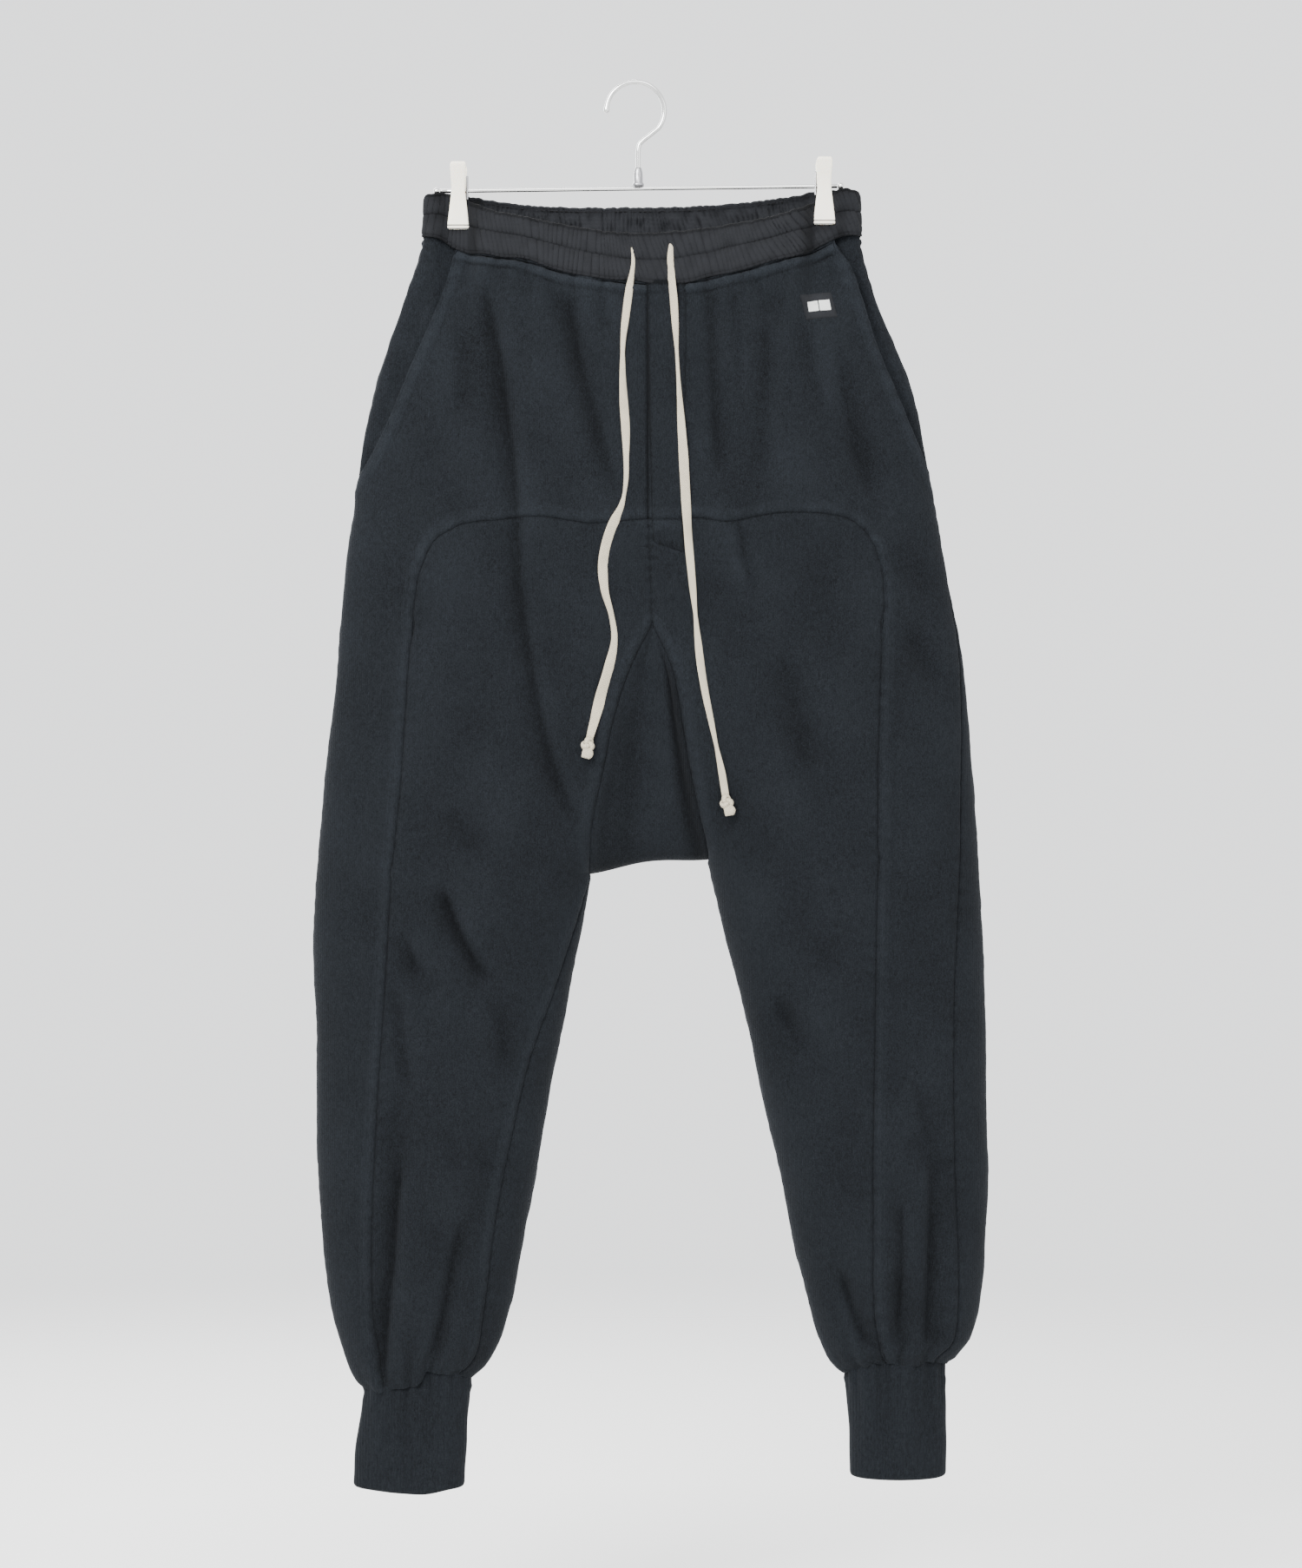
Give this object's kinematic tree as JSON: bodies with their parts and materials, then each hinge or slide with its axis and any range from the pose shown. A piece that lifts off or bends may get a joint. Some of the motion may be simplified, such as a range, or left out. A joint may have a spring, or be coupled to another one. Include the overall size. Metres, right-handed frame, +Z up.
{
  "type": "drawstring joggers on a clip hanger",
  "caption": "Dark jersey drop-crotch joggers with a gathered waistband, drawstring, slanted pockets and cuffs, clipped to a wire hanger.",
  "frame": {"origin": "inside top of the hanger's hook, where it rests on a rail", "axes": "+Z up, +X to the picture's right along the hanger's bar, the front faces -Y"},
  "size_m": [0.5528, 0.0985, 1.1685],
  "materials": {
    "jersey": "washed dark navy cotton jersey, matt, with a faint heather and fine wales",
    "cuff_knit": "dark navy fine rib knit, matt",
    "band_cloth": "brownish black woven cotton, gathered, matt",
    "label_cloth": "dark charcoal woven tape, slightly shiny",
    "cotton_cord": "unbleached flat cotton cord, matt",
    "polished_steel": "bright polished plated steel",
    "cream_plastic": "cream moulded plastic, soft gloss"
  },
  "bodies": {
    "root": {"front_side_left": "jersey", "front_side_right": "jersey", "front_leg_left": "jersey", "front_leg_right": "jersey", "fly_placket": "jersey", "gusset_front": "jersey", "gusset_back": "jersey", "back_left": "jersey", "back_right": "jersey", "pocket_facing_left": "jersey", "pocket_facing_right": "jersey", "cuff_left": "cuff_knit", "cuff_right": "cuff_knit", "waistband_front": "band_cloth", "waistband_back": "band_cloth", "brand_patch": "label_cloth", "drawstring_left": "cotton_cord", "drawstring_right": "cotton_cord", "knot_left": "cotton_cord", "knot_right": "cotton_cord", "hanger_hook": "polished_steel", "hanger_ferrule": "polished_steel", "hanger_bar": "polished_steel", "bar_end_left": "polished_steel", "bar_end_right": "polished_steel", "clip_spring_left": "polished_steel", "clip_spring_right": "polished_steel", "clip_jaw_front_left": "cream_plastic", "clip_jaw_back_left": "cream_plastic", "clip_jaw_front_right": "cream_plastic", "clip_jaw_back_right": "cream_plastic"}
  },
  "joints": []
}
